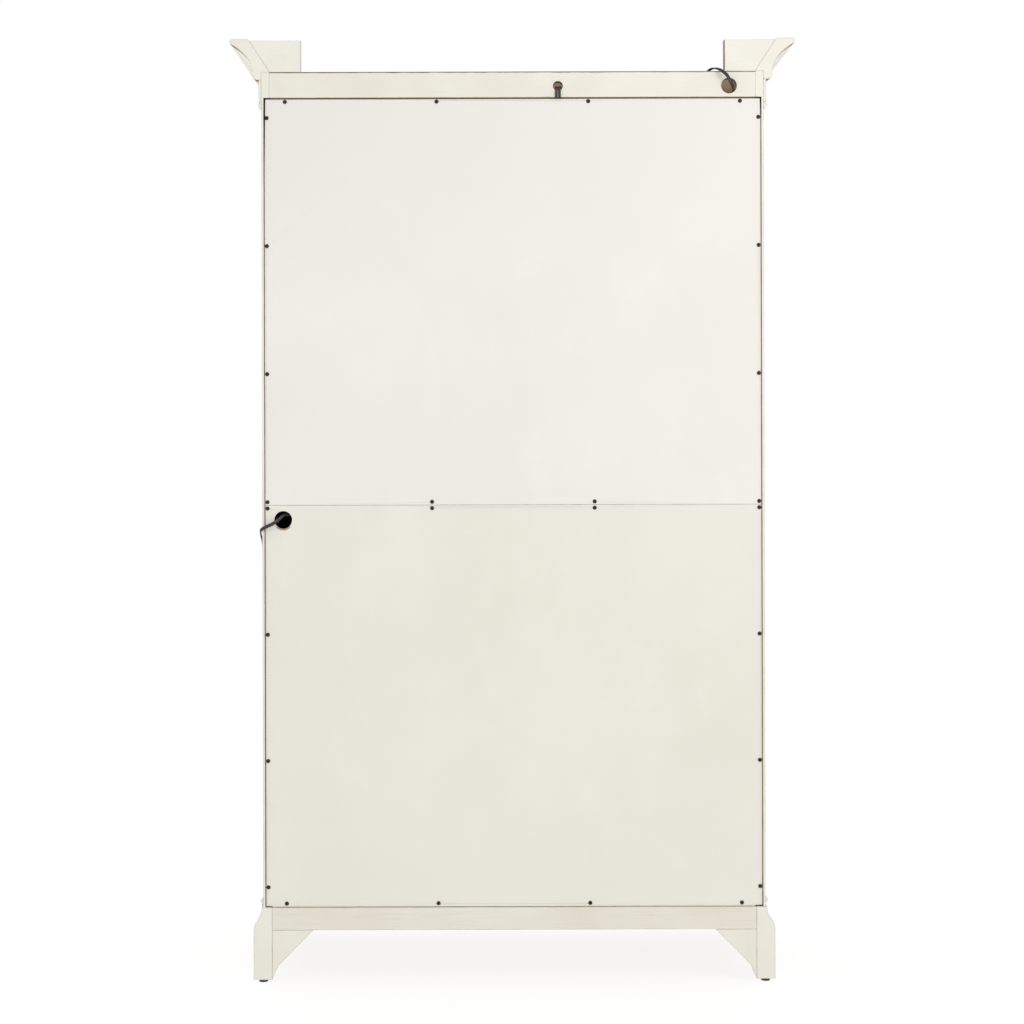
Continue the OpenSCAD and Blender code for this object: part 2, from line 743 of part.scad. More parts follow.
// The power module's cord: out of the lower panel, round the side and down to the floor.
module_cord_route = [
    [499, 224, 1058], [509, 228, 1059], [519, 235, 1057], [528, 243, 1050], [537, 250, 1042],
    [547, 254, 1036], [558, 255.5, 1031], [567, 252.5, 1026.5], [572, 245, 1021], [573, 234, 1013],
    [571.8, 220, 1001], [571.4, 206, 985], [571.2, 193, 962], [571.2, 183, 932], [571.2, 175, 900],
    [571.2, 165, 850], [571.2, 152, 770], [571.2, 137, 670], [571.2, 122, 570], [571.2, 107, 470],
    [571.4, 80, 290], [573, 70, 232], [575.8, 65, 200], [578, 62.5, 172], [584.5, 61.5, 149],
    [591.8, 61, 128], [593.8, 60.5, 103], [593.8, 59, 76], [593.8, 56, 48], [593, 49, 25],
    [591.5, 39, 10.5], [590, 28, 5], [588.8, 16, 3.9]];
module_cord_faces = [
    [0, 1, 0.3], [0, 1, 0.4], [-0.4, 1, 0.6], [-0.5, 1, 0.6], [-0.3, 1, 0.3],
    [0, 1, 0.1], [0, 1, 0], [0.5, 1, 0], [1, 0.7, 0], [1, 0.2, 0],
    [1, 0, 0], [1, 0, 0], [1, 0, 0], [1, 0, 0], [1, 0, 0],
    [1, 0, 0], [1, 0, 0], [1, 0, 0], [1, 0, 0], [1, 0, 0],
    [1, 0, 0], [1, 0, 0], [1, 0, 0.1], [1, 0, 0.2], [1, 0, 0.2],
    [1, 0, 0.1], [1, 0, 0], [1, 0, 0], [1, 0, 0], [1, 0, 0],
    [1, 0, 0], [1, 0, 0], [1, 0, 0]];
hank_at = [568.5, -15, 0];
hank_r = 22;
hank_run = 70;
hank_h = cord_w;
module module_cord() {
    color(black) flat_cord(module_cord_route, module_cord_faces, cord_w, cord_t, 2);
}
module module_cord_hank() {
    color(black) translate(hank_at) linear_extrude(hank_h) {
        translate([-hank_r, -hank_run / 2]) square([2 * hank_r, hank_run]);
        for (s = [-1, 1]) translate([0, s * hank_run / 2]) circle(r = hank_r, $fn = 48);
    }
}
module_plug_at = [582, -70.5, plug_size.z / 2];
module module_cord_plug() {
    color(black) plug(module_plug_at);
}

// The two lamp leads: along the roof's underside, out over the back panel, in at the rail's hole.
lead_w = 6;
lead_t = 2.4;
lead_step = 3.6;
function lead_route(s) = let (x = lead_hole.x, across = s * lead_step) [
    [s * (lamp_x - 22), lamp_y + 20, roof_z - 2.2], [s * (lamp_x - 44), lamp_y + 60, roof_z - 2.4],
    [x + s * 60 + 20, 150, roof_z - 2.4], [x + s * 16, 195, roof_z - 2.6],
    [x + across, 221, roof_z - 5], [x + across, 231.5, roof_z - 4.5],
    [x + across, panel_in - 3.5, roof_z + 2], [x + across, panel_in - 3.4, roof_z + 10],
    [x + across, panel_in - 2.8, roof_top - 3.4], [x + across, panel_in, roof_top - 1.75],
    [x + across, y_back - 3, roof_top - 1.75], [x + across, y_back + 0.8, roof_top - 1.3],
    [x + across, y_back + 2.6, roof_top + 2], [x + across, y_back + 2.6, roof_top + 12],
    [x + across, y_back + 1, roof_top + 20], [x + across - 1, y_back - 8, roof_top + 25],
    [x + across - 5, y_back - 26, roof_top + 23],
    [x - 22 + across * 0.9, y_back - 50 - across * 0.9, roof_top + 17],
    [x - 58, y_back - 68 - across * 1.1, roof_top + 14],
    [driver_at.x + driver.x - 1, y_back - 74 - across, roof_top + 14]];
lead_faces = [
    [0, 0, -1], [0, 0, -1], [0, 0, -1], [0, 0, -1], [0, 0, -1], [0, 0.5, -1],
    [0, 1, -0.1], [0, 1, -0.1], [0, 0.8, -0.6], [0, 0.1, -1], [0, 0.1, -1], [0, 0.6, -0.8],
    [0, 1, -0.2], [0, 1, 0.1], [0, 0.8, 0.6], [0, 0.1, 1], [0, 0, 1], [0, 0, 1], [0, 0, 1],
    [0, 0, 1]];
module lamp_leads() {
    color(black) for (s = [-1, 1]) flat_cord(lead_route(s), lead_faces, lead_w, lead_t, 2);
}

side_panel_left();
side_panel_right();
roof_board();
middle_deck();
floor_board();
back_panel_upper();
back_panel_lower();
top_back_rail();
bottom_back_rail();
crown_blocks();
crown_moulding();
case_mouldings();
base_boards();
rear_brackets();
foot_glides();
face_frame();
drawer_carcase();
glass_shelves();
shelf_pins();
panel_screws();
lamps();
supply_boxes();
lamp_leads();
light_cord();
light_cord_coil();
light_cord_plug();
module_cord();
module_cord_hank();
module_cord_plug();
frame_hinge_leaves();
door_sash_left();
door_sash_right();
door_glass_left();
door_glass_right();
door_fittings_left();
door_fittings_right();
for (r = [1:rows], c = [1:columns])
    drawer(r, c);
for (r = [1:rows], c = [1:columns])
    drawer_pull(r, c);
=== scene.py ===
import math
import random

import bmesh
import bpy
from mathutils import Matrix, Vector


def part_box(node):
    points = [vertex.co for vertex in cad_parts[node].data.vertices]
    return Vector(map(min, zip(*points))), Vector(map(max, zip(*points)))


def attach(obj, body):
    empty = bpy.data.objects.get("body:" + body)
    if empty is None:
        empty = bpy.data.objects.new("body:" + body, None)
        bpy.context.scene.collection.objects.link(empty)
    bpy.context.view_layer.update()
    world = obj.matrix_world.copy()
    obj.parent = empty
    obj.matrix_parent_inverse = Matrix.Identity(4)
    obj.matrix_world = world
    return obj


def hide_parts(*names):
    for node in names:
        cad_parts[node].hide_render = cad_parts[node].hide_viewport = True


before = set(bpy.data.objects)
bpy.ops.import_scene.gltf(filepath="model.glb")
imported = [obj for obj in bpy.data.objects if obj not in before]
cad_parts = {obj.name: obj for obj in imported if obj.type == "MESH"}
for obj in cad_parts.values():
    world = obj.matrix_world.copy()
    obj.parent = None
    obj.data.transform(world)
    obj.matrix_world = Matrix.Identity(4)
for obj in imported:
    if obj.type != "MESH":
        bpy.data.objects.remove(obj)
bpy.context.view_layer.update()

# ---- Camera ----
# Behind the cabinet at chest height and level, so that uprights stay upright, with a small
# lean and the lens shift that brings both the crown and the feet into the frame.
back_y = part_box("top_back_rail")[1].y
eye_distance = 4.10
frame_w = 2.316
eye = Vector((0.050, back_y + eye_distance, 1.24))
aim_x = 0.0028
aim_z = 1.0628
lean = math.radians(0.15)
lens_data = bpy.data.cameras.new("studio_camera")
lens_data.sensor_width = 36
lens_data.lens = lens_data.sensor_width * eye_distance / frame_w
lens_data.shift_x = (eye.x - aim_x) / frame_w
lens_data.shift_y = (aim_z - eye.z) / frame_w
lens_data.clip_end = 200
camera = bpy.data.objects.new("studio_camera", lens_data)
camera.location = eye
camera.rotation_euler = (math.radians(90), lean, math.radians(180))
bpy.context.scene.collection.objects.link(camera)
bpy.context.scene.camera = camera
bpy.context.scene.view_settings.view_transform = "Standard"


# ---- Light cord ----
# A flat two-core mains cord from the lamps' driver. It leaves through the rail's hole,
# goes back over the rail, and its slack lies coiled on the roof board behind the rail.
class Value:
    """A socket that takes part in sums."""

    def __init__(self, finish, socket):
        self.finish = finish
        self.socket = socket

    def __add__(self, other):
        return self.finish.maths("ADD", self, other)

    def __radd__(self, other):
        return self.finish.maths("ADD", other, self)

    def __sub__(self, other):
        return self.finish.maths("SUBTRACT", self, other)

    def __rsub__(self, other):
        return self.finish.maths("SUBTRACT", other, self)

    def __mul__(self, other):
        return self.finish.maths("MULTIPLY", self, other)

    def __rmul__(self, other):
        return self.finish.maths("MULTIPLY", other, self)


class Finish:
    """One material, built from nodes."""

    def __init__(self, name):
        self.material = bpy.data.materials.new(name)
        self.material.use_nodes = True
        self.tree = self.material.node_tree
        self.tree.nodes.clear()

    def add(self, kind, settings=None, sockets=None):
        node = self.tree.nodes.new("ShaderNode" + kind)
        for key, value in (settings or {}).items():
            setattr(node, key, value)
        for key, value in (sockets or {}).items():
            if isinstance(value, Value):
                self.tree.links.new(value.socket, node.inputs[key])
            else:
                node.inputs[key].default_value = value
        return node

    def out(self, node, key=0):
        return Value(self, node.outputs[key])

    def maths(self, operation, first, second=0.0):
        return self.out(self.add("Math", {"operation": operation}, {0: first, 1: second}))

    def vector(self, operation, first, second, result=0):
        return self.out(self.add("VectorMath", {"operation": operation}, {0: first, 1: second}), result)

    def ramp(self, value, low, high):
        """0 below low, 1 above high, and smooth between them."""
        settings = {"interpolation_type": "SMOOTHSTEP"}
        return self.out(self.add("MapRange", settings, {0: value, 1: low, 2: high}))

    def mix(self, mask, first, second):
        """The first colour where the mask is 0 and the second where it is 1."""
        colours = [colour if isinstance(colour, Value) else (*colour, 1.0) for colour in (first, second)]
        node = self.add("Mix", {"data_type": "RGBA"}, {0: mask, 6: colours[0], 7: colours[1]})
        return self.out(node, 2)

    def place(self):
        return self.out(self.add("TexCoord"), "Object")

    def normal(self):
        return self.out(self.add("NewGeometry"), "Normal")

    def parts(self, vector):
        node = self.add("SeparateXYZ", None, {0: vector})
        return [self.out(node, axis) for axis in range(3)]

    def noise(self, scale, detail=2.0, stretch=(1.0, 1.0, 1.0), shift=(0.0, 0.0, 0.0)):
        spot = self.vector("MULTIPLY", self.vector("ADD", self.place(), shift), stretch)
        sockets = {"Vector": spot, "Scale": scale, "Detail": detail, "Roughness": 0.6}
        return self.out(self.add("TexNoise", None, sockets))

    def surface(self, colour, roughness, bump, depth, metallic=0.0, specular=0.5):
        relief = self.add("Bump", None, {"Height": bump, "Distance": depth})
        sockets = {"Base Color": colour, "Roughness": roughness, "Metallic": metallic,
                   "Specular IOR Level": specular, "Normal": self.out(relief)}
        shader = self.out(self.add("BsdfPrincipled", None, sockets))
        self.add("OutputMaterial", None, {"Surface": shader})
        return self.material


def spline(points, step):
    """Points along a smooth curve through those given, step of them to each stretch."""
    last = len(points) - 1
    result = []
    for i in range(last):
        a, b, c, d = (Vector(points[max(0, min(last, i + k))]) for k in (-1, 0, 1, 2))
        for k in range(step):
            t = k / step
            result.append(0.5 * (2 * b + (c - a) * t + (2 * a - 5 * b + 4 * c - d) * t * t
                                 + (3 * b - a - 3 * c + d) * t ** 3))
    return result + [Vector(points[-1])]


def piece(name, mesh, finish, body):
    obj = bpy.data.objects.new(name, mesh)
    bpy.context.scene.collection.objects.link(obj)
    mesh.materials.append(finish)
    for face in mesh.polygons:
        face.use_smooth = True
    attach(obj, body)
    return obj


def sweep(name, centres, faces, outline):
    """A mesh that carries an outline along centres; faces say which way its flat side looks."""
    shape = bmesh.new()
    last = len(centres) - 1
    rings = []
    for i, centre in enumerate(centres):
        along = (centres[min(i + 1, last)] - centres[max(i - 1, 0)]).normalized()
        side = along.cross(faces[i]).normalized()
        up = side.cross(along)
        rings.append([shape.verts.new(centre + side * u + up * v) for u, v in outline(i / last)])
    count = len(rings[0])
    for near, far in zip(rings, rings[1:]):
        for k in range(count):
            shape.faces.new((near[k], near[(k + 1) % count], far[(k + 1) % count], far[k]))
    shape.faces.new(rings[0][::-1])
    shape.faces.new(rings[-1])
    bmesh.ops.recalc_face_normals(shape, faces=shape.faces)
    mesh = bpy.data.meshes.new(name)
    shape.to_mesh(mesh)
    shape.free()
    return mesh


outline_points = 20


def two_core(width, thick):
    """Outline of a flat cord: two round cores side by side with a groove between them."""
    outline = []
    for k in range(outline_points):
        turn = 2 * math.pi * k / outline_points
        u = math.cos(turn) * width / 2
        core = abs(abs(u) - (width - thick) / 2) / (thick / 2)
        v = thick / 2 * math.sqrt(max(0.0, 1 - min(1.0, core) ** 2))
        groove = 0.55 * thick / 2
        v = max(v, groove) if abs(u) < (width - thick) / 2 else v
        outline.append((u, math.copysign(v, math.sin(turn))))
    return lambda along: outline


cord_w = 0.0076
cord_t = 0.0034
roof_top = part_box("roof_board")[1].z
light_cord_route = [
    (-330, 172, 2014), (-356, 174, 2011), (-390, 179, 2005), (-425, 188, 2004), (-460, 198, 2005.5),
    (-486, 211, 2009.5), (-498, 227, 2014.5), (-501, 243, 2016.5), (-499, 254, 2019.5), (-494.5, 260.5, 2027),
    (-489, 262, 2037), (-482.5, 261, 2048), (-472, 256, 2058), (-462, 249, 2064), (-453, 238, 2066),
    (-446, 225, 2063), (-440, 212, 2053), (-434, 200, 2037), (-426, 186, 2019), (-416, 168, 2009),
    (-405, 146, 2005.8), (-396, 120, 2005.2), (-389, 90, 2005), (-384, 60, 2005)]
light_cord_faces = [
    (0, 0, -1), (0, 0, -1), (0, 0, -1), (0, 0, -1), (-0.2, 0.1, -1),
    (-0.4, 0.1, -0.9), (-0.6, 0.1, -0.8), (-0.65, 0.4, -0.7), (-0.4, 1, -0.5), (-0.1, 1, -0.1),
    (0, 1, 0.1), (0, 1, 0.2), (0, 1, 0.6), (0, 0.6, 1), (0, 0, 1),
    (0, -0.5, 1), (0, -1, 0.8), (0, -1, 0.7), (0, -1, 0.9), (-0.4, -0.5, 1),
    (-0.8, -0.2, 0.7), (-1, 0, 0.3), (-1, 0, 0), (-1, 0, 0)]
coil_low, coil_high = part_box("light_cord_coil")
coil_mid = (coil_low + coil_high) / 2
coil_r = (coil_high.x - coil_low.x) / 2 - cord_t / 2
coil_turns = 4.75
coil_steps = 24
coil_z = coil_low.z + cord_w / 2 + 0.0008
centres = [point / 1000 for point in spline(light_cord_route, 6)]
faces = spline(light_cord_faces, 6)
for step in range(1, int(coil_turns * coil_steps) + 1):
    turn = math.pi + 2 * math.pi * step / coil_steps
    radius = coil_r - cord_t * step / coil_steps
    spoke = Vector((math.cos(turn), math.sin(turn), 0))
    centres.append(Vector((coil_mid.x, coil_mid.y, coil_z)) + spoke * radius)
    faces.append(spoke)
# The far end turns inside the coil, climbs over its turns and runs into the plug.
coil_exit = [(-2, 33, 0), (-9, 30, 0), (-14.5, 22.5, 0), (-16.5, 12, 0.6), (-15.5, 0, 2.6), (-12, -12, 4.6),
             (-7, -24, 6), (-3, -36, 6.2), (-1, -44, 5.6), (0, -51, 4.6)]
coil_exit_faces = [(0, 1, 0), (-0.5, 0.9, 0), (-1, 0.3, 0), (-1, -0.1, 0.2), (-0.8, -0.2, 0.6),
                   (-0.5, 0, 1), (-0.1, 0, 1), (0, 0, 1), (0, 0, 1), (0, 0, 1)]
coil_home = Vector((coil_mid.x, coil_mid.y, coil_z + 0.0001))
centres += [coil_home + point / 1000 for point in spline(coil_exit, 4)][1:]
faces += spline(coil_exit_faces, 4)[1:]


def cord_finish(name):
    finish = Finish(name)
    dust = finish.ramp(finish.noise(38, 4), 0.48, 0.75)
    ripple = finish.noise(900, 2)
    colour = finish.mix(dust * 0.5, (0.012, 0.011, 0.010), (0.045, 0.040, 0.034))
    return finish.surface(colour, 0.34 + 0.22 * dust, ripple * 0.4 + dust * 0.3, 0.0002)


cord_black = cord_finish("black_cord_vinyl")
light_cord_path = centres
light_cord_looks = faces
light_cord_mesh = sweep("lamp_mains_cord", light_cord_path, light_cord_looks, two_core(cord_w, cord_t))
light_cord = piece("lamp_mains_cord", light_cord_mesh, cord_black, "cabinet")
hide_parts("light_cord", "light_cord_coil")

# ---- Module cord ----
# The power module's cord: the same flat cord, out of the large hole in the lower panel,
# round the side of the case and down to the floor, where its slack is tied in a hank.
module_cord_route = [
    (499, 224, 1058), (509, 228, 1059), (519, 235, 1057), (528, 243, 1050), (537, 250, 1042),
    (547, 254, 1036), (558, 255.5, 1031), (567, 252.5, 1026.5), (572, 245, 1021), (573, 234, 1013),
    (571.8, 220, 1001), (571.4, 206, 985), (571.2, 193, 962), (571.2, 183, 932), (571.2, 175, 900),
    (571.2, 165, 850), (571.2, 152, 770), (571.2, 137, 670), (571.2, 122, 570), (571.2, 107, 470),
    (571.4, 80, 290), (573, 70, 232), (575.8, 65, 200), (578, 62.5, 172), (584.5, 61.5, 149),
    (591.8, 61, 128), (593.8, 60.5, 103), (593.8, 59, 76), (593.8, 56, 48), (593, 49, 25),
    (591.5, 39, 10.5), (590, 28, 5), (588.8, 16, 3.9)]
module_cord_faces = [
    (0, 1, 0.3), (0, 1, 0.4), (-0.4, 1, 0.6), (-0.5, 1, 0.6), (-0.3, 1, 0.3),
    (0, 1, 0.1), (0, 1, 0), (0.5, 1, 0), (1, 0.7, 0), (1, 0.2, 0),
    (1, 0, 0), (1, 0, 0), (1, 0, 0), (1, 0, 0), (1, 0, 0),
    (1, 0, 0), (1, 0, 0), (1, 0, 0), (1, 0, 0), (1, 0, 0),
    (1, 0, 0), (1, 0, 0), (1, 0, 0.1), (1, 0, 0.2), (1, 0, 0.2),
    (1, 0, 0.1), (1, 0, 0), (1, 0, 0), (1, 0, 0), (1, 0, 0),
    (1, 0, 0), (1, 0, 0), (1, 0, 0)]
hank_low, hank_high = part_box("module_cord_hank")
hank_mid = (hank_low + hank_high) / 2
hank_r = (hank_high.x - hank_low.x) / 2
hank_run = (hank_high.y - hank_low.y) / 2 - hank_r
hank_z = 0.0048
centres = [point / 1000 for point in spline(module_cord_route, 5)]
faces = spline(module_cord_faces, 5)


def hank_fold(radius, end_y, side):
    """Half a turn round one end of the hank; side is 1 when it starts on the outer side."""
    for step in range(13):
        turn = side * math.pi * step / 12
        spoke = Vector((side * math.cos(turn), -side * abs(math.sin(turn)), 0))
        centres.append(Vector((hank_mid.x, end_y, hank_z)) + spoke * radius)
        faces.append(spoke)


strand = hank_r - cord_t / 2
hank_laps = 2
for _ in range(hank_laps):
    centres.append(Vector((hank_mid.x + strand, hank_mid.y, hank_z)))
    faces.append(Vector((1, 0, 0)))
    hank_fold(strand, hank_mid.y - hank_run, 1)
    centres.append(Vector((hank_mid.x - strand, hank_mid.y, hank_z)))
    faces.append(Vector((-1, 0, 0)))
    strand -= cord_t / 2
    hank_fold(strand, hank_mid.y + hank_run, -1)
    strand -= cord_t / 2
hank_exit = [(13.8, 24, 0), (13.6, 10, 0.2), (13.5, -4, 1.4), (13.5, -18, 3.6), (13.5, -32, 4.9),
             (13.5, -44, 5.0), (13.5, -56, 4.2)]
hank_exit_faces = [(1, 0, 0), (1, 0, 0.2), (0.8, 0, 0.7), (0.3, 0, 1), (0, 0, 1), (0, 0, 1), (0, 0, 1)]
hank_home = Vector((hank_mid.x, hank_mid.y, hank_z))
centres += [hank_home + point / 1000 for point in spline(hank_exit, 4)]
faces += spline(hank_exit_faces, 4)
module_cord_path = centres
module_cord_looks = faces
module_cord_mesh = sweep("module_mains_cord", module_cord_path, module_cord_looks, two_core(cord_w, cord_t))
module_cord = piece("module_mains_cord", module_cord_mesh, cord_black, "cabinet")
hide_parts("module_cord", "module_cord_hank")

# ---- Studio ----
# A pale floor, even light from all round, and two large soft lights.
world = bpy.data.worlds.new("studio")
world.use_nodes = True
world.node_tree.nodes["Background"].inputs[0].default_value = (1.0, 1.0, 1.0, 1.0)
world.node_tree.nodes["Background"].inputs[1].default_value = 1.0
bpy.context.scene.world = world


def soft_light(name, place, aim, size, power):
    data = bpy.data.lights.new(name, "AREA")
    data.size = size
    data.energy = power
    light = bpy.data.objects.new(name, data)
    light.location = place
    light.rotation_euler = (Vector(aim) - Vector(place)).to_track_quat("-Z", "Y").to_euler()
    bpy.context.scene.collection.objects.link(light)


soft_light("back_light", (-2.0, 2.3, 2.9), (-0.45, 0.2, 1.7), 1.2, 22)
soft_light("front_light", (2.8, -4.2, 3.2), (0, -0.2, 1.0), 2.0, 60)

floor_shape = bmesh.new()
bmesh.ops.create_grid(floor_shape, x_segments=2, y_segments=2, size=40)
floor_mesh = bpy.data.meshes.new("studio_floor")
floor_shape.to_mesh(floor_mesh)
floor_shape.free()
floor = bpy.data.objects.new("studio_floor", floor_mesh)
bpy.context.scene.collection.objects.link(floor)
floor_finish = Finish("pale_floor")
floor_glow = floor_finish.add("Emission", None, {"Color": (1, 1, 1, 1), "Strength": 1.0})
floor_dull = floor_finish.add("BsdfDiffuse", None, {"Color": (0.97, 0.97, 0.97, 1)})
floor_blend = floor_finish.add("MixShader", None, {
    0: 0.84, 1: floor_finish.out(floor_dull), 2: floor_finish.out(floor_glow)})
floor_finish.add("OutputMaterial", None, {"Surface": floor_finish.out(floor_blend)})
floor_mesh.materials.append(floor_finish.material)

# ---- Case boards ----
# Painted solid boards: sides with the grain upright, roof, deck and floor with it across.
# The paint is cream white over a brown stain, rubbed through along the edges.
cream = (0.760, 0.736, 0.668)
rubbed = (0.25, 0.165, 0.095)
stained = (0.10, 0.062, 0.036)


def ease(node, width, segments=2):
    """Softens a piece's sharp edges, after its split corners are welded."""
    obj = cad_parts[node]
    obj.modifiers.new("weld", "WELD").merge_threshold = 0.00001
    bevel = obj.modifiers.new("eased_edges", "BEVEL")
    bevel.width = width
    bevel.segments = segments
    bevel.angle_limit = math.radians(30)
    return bevel


def dress(nodes, material, width=0.0006):
    """Gives nodes their material and, unless width is 0, eased edges."""
    for node in nodes:
        if width:
            ease(node, width).harden_normals = True
        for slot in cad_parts[node].material_slots:
            slot.material = material


def along_grain(axis, fine, coarse):
    """How much to stretch a pattern so that it runs along one axis."""
    stretch = [fine] * 3
    stretch[axis] = coarse
    return tuple(stretch)


def wood_grain(finish, axis):
    """Fine streaks and broad bands of bare wood."""
    streaks = finish.noise(1.0, 5, along_grain(axis, 420, 9))
    bands = finish.noise(1.0, 3, along_grain(axis, 34, 1.3))
    return streaks, bands


def worn_edge(finish, reach):
    """0 on flat faces, rising towards edges that lie within reach."""
    rounded = finish.out(finish.add("Bevel", {"samples": 4}, {"Radius": reach}), "Normal")
    return 1 - finish.vector("DOT_PRODUCT", rounded, finish.normal(), 1)


def shaded(tone, factor):
    """A colour made darker, or lighter when the factor is above 1."""
    return tuple(channel * factor for channel in tone)


def paint_layers(finish, axis, tone=cream, rub=1.0, streak=1.0, spots=1.0):
    """Colour, roughness and height of paint rubbed through at the edges."""
    streaks, bands = wood_grain(finish, axis)
    clouds = finish.noise(2.2, 4)
    chips = finish.noise(46, 6, along_grain(axis, 1.0, 0.35))
    edge = worn_edge(finish, 0.0035)
    bare = finish.ramp(edge * 2.2 + (chips - 0.5) * 1.7, 0.52 / rub, 0.80 / rub)
    pale = shaded(tone, 1.045)
    dull = (tone[0] * 0.955, tone[1] * 0.945, tone[2] * 0.915)
    colour = finish.mix(finish.ramp(clouds, 0.35, 0.68), dull, pale)
    shade = finish.ramp(streaks, 0.52, 0.80) * (0.07 * streak)
    colour = finish.mix(shade, colour, shaded(tone, 0.45))
    flecks = finish.ramp(finish.noise(130, 3, along_grain(axis, 1.0, 0.5)), 0.70, 0.80)
    colour = finish.mix(flecks * (0.30 * spots), colour, rubbed)
    wood = finish.mix(finish.ramp(bands + streaks * 0.5, 0.55, 1.0), rubbed, stained)
    colour = finish.mix(bare, colour, wood)
    height = streaks * (0.30 * streak) + bands * 0.12 - bare * 0.35 + finish.noise(300, 2) * 0.15
    roughness = 0.50 + 0.25 * bare + 0.10 * streaks
    return colour, roughness, height


def painted(name, axis, **choices):
    finish = Finish(name)
    colour, roughness, height = paint_layers(finish, axis, **choices)
    return finish.surface(colour, roughness, height, 0.0004, specular=0.35)


light_wood = {"light": (0.52, 0.37, 0.22), "dark": (0.34, 0.215, 0.115)}
dark_wood = {"light": (0.27, 0.185, 0.11), "dark": (0.16, 0.105, 0.06)}


def bare_layers(finish, axis, light, dark):
    """Colour, roughness and height of unpainted wood."""
    streaks, bands = wood_grain(finish, axis)
    colour = finish.mix(finish.ramp(bands + streaks * 0.6, 0.50, 1.1), light, dark)
    return colour, 0.62 + 0.15 * streaks, streaks * 0.6 + bands * 0.2


def bare_wood(name, axis):
    finish = Finish(name)
    colour, roughness, height = bare_layers(finish, axis, **light_wood)
    return finish.surface(colour, roughness, height, 0.0004, specular=0.3)


dress(["floor_board"], bare_wood("floor_board_wood", 0))


def painted_where(name, axis, bare_mask, wood_colours=light_wood, **choices):
    """Paint with one stretch of the surface left as bare wood."""
    finish = Finish(name)
    mask = bare_mask(finish)
    paint = paint_layers(finish, axis, **choices)
    wood = bare_layers(finish, axis, **wood_colours)
    colour = finish.mix(mask, paint[0], wood[0])
    roughness = paint[1] * (1 - mask) + wood[1] * mask
    height = paint[2] * (1 - mask) + wood[2] * mask
    return finish.surface(colour, roughness, height, 0.0004, specular=0.35)


def above(level):
    return lambda finish: finish.maths("GREATER_THAN", finish.parts(finish.place())[2], level)


def below(level):
    return lambda finish: finish.maths("LESS_THAN", finish.parts(finish.place())[2], level)


case_half_w = max(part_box("side_panel_left")[1].x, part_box("side_panel_right")[1].x)
rabbet_lip = 0.0049
rabbet_floor_y = 0.2380
roof_edge_y = 0.2360


def rabbet(finish):
    """The walls of the rabbet that the back panels lie in."""
    x, y, z = finish.parts(finish.place())
    inside = finish.maths("LESS_THAN", finish.maths("ABSOLUTE", x), case_half_w - rabbet_lip)
    behind = finish.maths("GREATER_THAN", y, rabbet_floor_y)
    return inside * behind * finish.maths("LESS_THAN", z, roof_top)


def roof_bare(finish):
    """The roof's upper face and its rear edge."""
    rear_edge = finish.maths("GREATER_THAN", finish.parts(finish.place())[1], roof_edge_y)
    return finish.maths("MAXIMUM", above(roof_top - 0.001)(finish), rear_edge)


# Painted shade: the rabbet's bare walls are painted near black where the gap beside the panels gapes, in a
# few stretches of its height.
side_finish = Finish("side_paint")
side_paint = paint_layers(side_finish, 2, rub=0.85)
bare_mask = rabbet(side_finish)
side_place = side_finish.parts(side_finish.place())
side_z = side_place[2]
left_gap_shade = side_finish.maths("MAXIMUM", side_finish.ramp(side_z, 1.62, 1.95),
                             side_finish.ramp(side_z, 1.10, 1.06) * 0.45)
right_gap_shade = side_finish.maths("MAXIMUM", side_finish.ramp(side_z, 1.955, 1.965),
                              side_finish.ramp(side_z, 0.26, 0.22) * 0.8)
is_left = side_finish.maths("GREATER_THAN", side_place[0], 0.0)
gap_shade_mask = left_gap_shade * is_left + right_gap_shade * (1 - is_left)
# Tan bare wood, turned near black as painted shade where the gap gapes.
rabbet_wood_and_shade = side_finish.mix(gap_shade_mask, (0.52, 0.40, 0.27), (0.030, 0.018, 0.010))
side_colour = side_finish.mix(bare_mask, side_paint[0], rabbet_wood_and_shade)
side_material = side_finish.surface(side_colour, side_paint[1], side_paint[2], 0.0004, specular=0.35)
dress(["side_panel_left", "side_panel_right"], side_material, 0.0002)
dress(["roof_board"], painted_where("roof_paint", 0, roof_bare, dark_wood))
dress(["middle_deck"], painted_where("deck_paint", 0, below(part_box("middle_deck")[0].z + 0.001)))

# ---- Back panels ----
# Two thin panels, painted, laid in the sides' rabbet and screwed on. They hardly show
# any grain; the paint has faint clouds where it was wiped.
panel_tone = (0.785, 0.766, 0.712)
panel_shade = (0.755, 0.734, 0.676)
lower_tone = (0.764, 0.740, 0.666)
lower_shade = (0.730, 0.705, 0.626)


